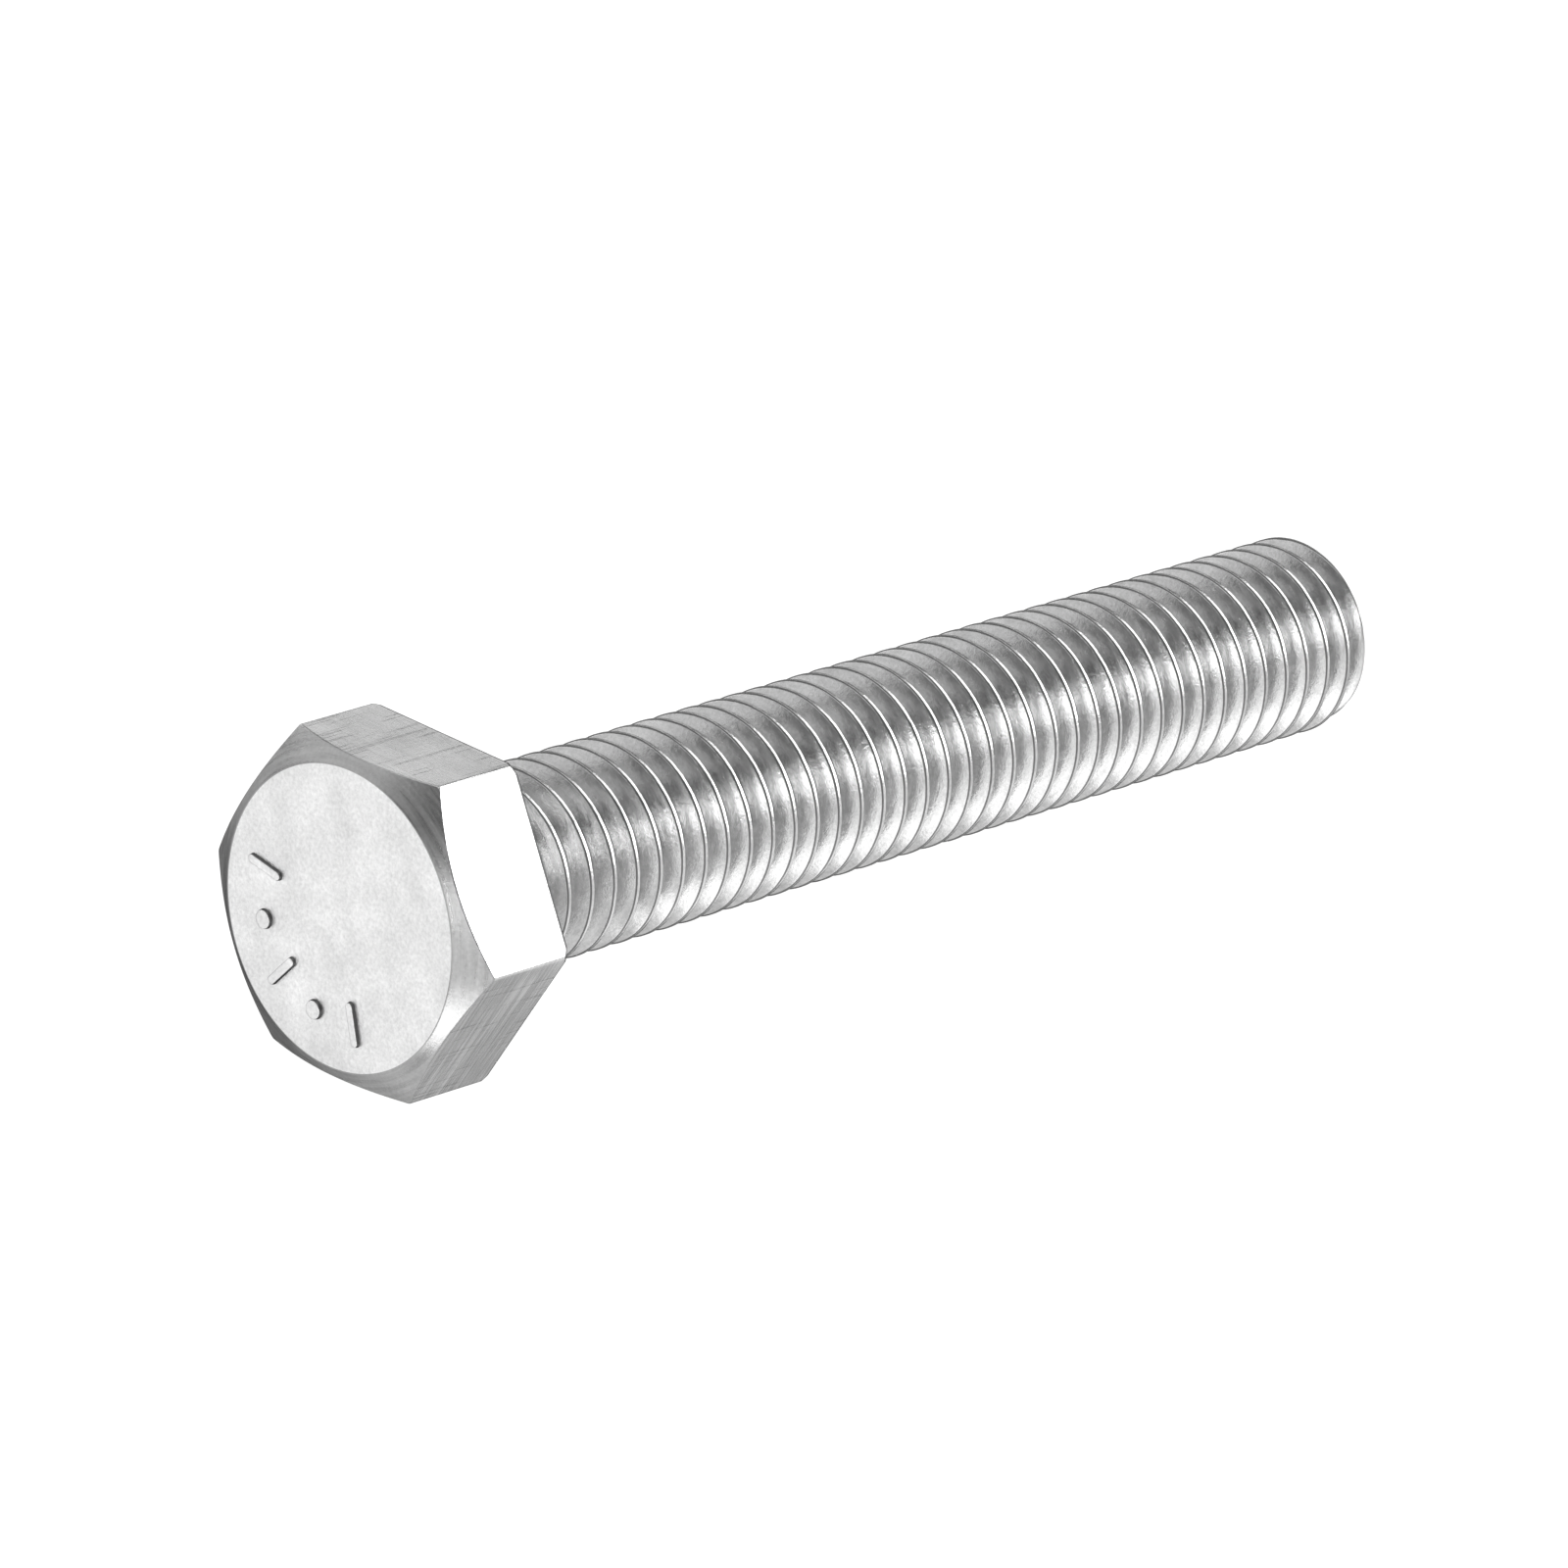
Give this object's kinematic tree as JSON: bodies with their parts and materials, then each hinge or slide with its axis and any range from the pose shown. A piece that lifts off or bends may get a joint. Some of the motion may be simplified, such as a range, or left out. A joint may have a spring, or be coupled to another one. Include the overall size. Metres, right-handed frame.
{
  "type": "hex bolt",
  "caption": "Hex-head metric bolt threaded along its whole shank: six-sided head with bevelled corners, round bearing face, right-hand helical thread and bevelled tip.",
  "frame": {"origin": "centre of the bearing face under the head, on the thread axis", "axes": "+X along the thread axis from the head towards the tip; +Z is the outward normal of one hexagon flat; +Y towards a hexagon corner"},
  "size_m": [0.0555, 0.015, 0.013],
  "materials": {
    "steel": "satin"
  },
  "bodies": {
    "root": {"hex_bolt": "steel"}
  },
  "joints": []
}
